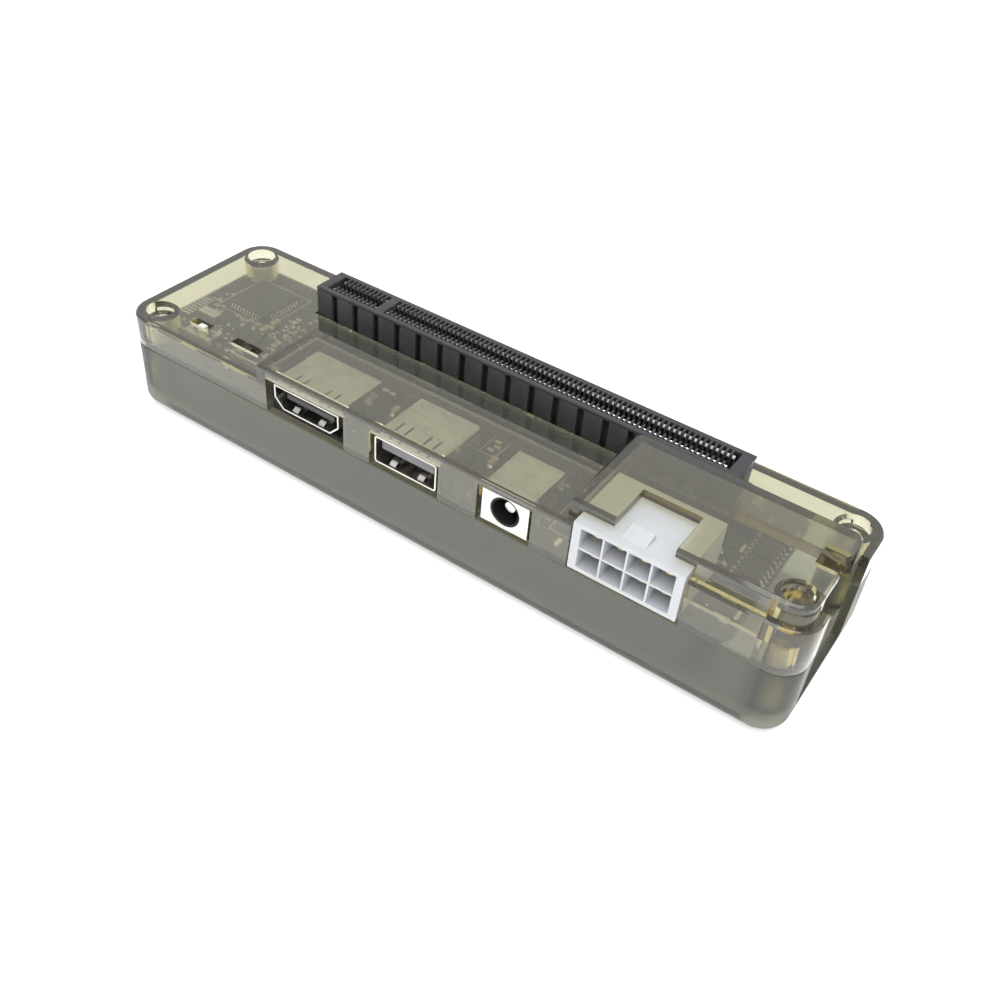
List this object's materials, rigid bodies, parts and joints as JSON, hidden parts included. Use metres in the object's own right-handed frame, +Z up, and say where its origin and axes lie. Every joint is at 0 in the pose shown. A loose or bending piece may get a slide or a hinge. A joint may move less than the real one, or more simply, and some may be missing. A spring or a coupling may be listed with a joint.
{
  "type": "external graphics card enclosure",
  "caption": "Slim smoked plastic dock with a long graphics card slot standing out of its top, a row of ports in its front and a raised hump over the power connector.",
  "frame": {"origin": "middle of the case on the surface that it stands on", "axes": "+X along the case towards the power connector, -Y towards the ports, +Z up"},
  "size_m": [0.14, 0.0373, 0.0272],
  "materials": {
    "smoked_plastic": "clear smoked polycarbonate, polished",
    "board": "solder mask over glass laminate",
    "black_plastic": "moulded, satin",
    "grey_plastic": "moulded, satin",
    "white_plastic": "moulded, satin",
    "natural_nylon": "natural nylon, slightly clear",
    "chip_plastic": "moulded epoxy",
    "ceramic": "fired ceramic with tinned ends",
    "contact_metal": "thin gold plate",
    "plated_steel": "nickel plate",
    "can_metal": "drawn can",
    "steel": "zinc plate"
  },
  "bodies": {
    "case": {"bottom_shell": "smoked_plastic", "top_cover": "smoked_plastic", "circuit_board": "board", "case_screws": "steel", "slot_body": "black_plastic", "slot_contacts_front": "contact_metal", "slot_contacts_back": "contact_metal", "video_port_shell": "plated_steel", "video_port_insert": "black_plastic", "video_port_contacts": "contact_metal", "data_port_shell": "plated_steel", "data_port_insert": "grey_plastic", "data_port_contacts": "contact_metal", "power_jack_body": "plated_steel", "power_jack_pin": "plated_steel", "power_connector_body": "natural_nylon", "power_connector_pins": "contact_metal", "switch_one_body": "plated_steel", "switch_two_body": "plated_steel", "main_chip": "chip_plastic", "main_chip_leads": "plated_steel", "driver_chips": "chip_plastic", "memory_chip": "chip_plastic", "power_transistors": "chip_plastic", "transistor_leads": "plated_steel", "power_coil": "chip_plastic", "capacitor_cans": "can_metal", "crystal": "can_metal", "resistors": "chip_plastic", "ceramic_capacitors": "ceramic", "status_lamps": "white_plastic", "edge_pads": "contact_metal"},
    "switch_one": {"switch_one_lever": "white_plastic"},
    "switch_two": {"switch_two_lever": "black_plastic"}
  },
  "joints": [
    {"name": "switch_one_slide", "type": "slide", "parent": "case", "child": "switch_one", "axis": [1, 0, 0], "range_m": [-0.0011, 0.0011]},
    {"name": "switch_two_slide", "type": "slide", "parent": "case", "child": "switch_two", "axis": [1, 0, 0], "range_m": [-0.0022, 0.0022]}
  ]
}
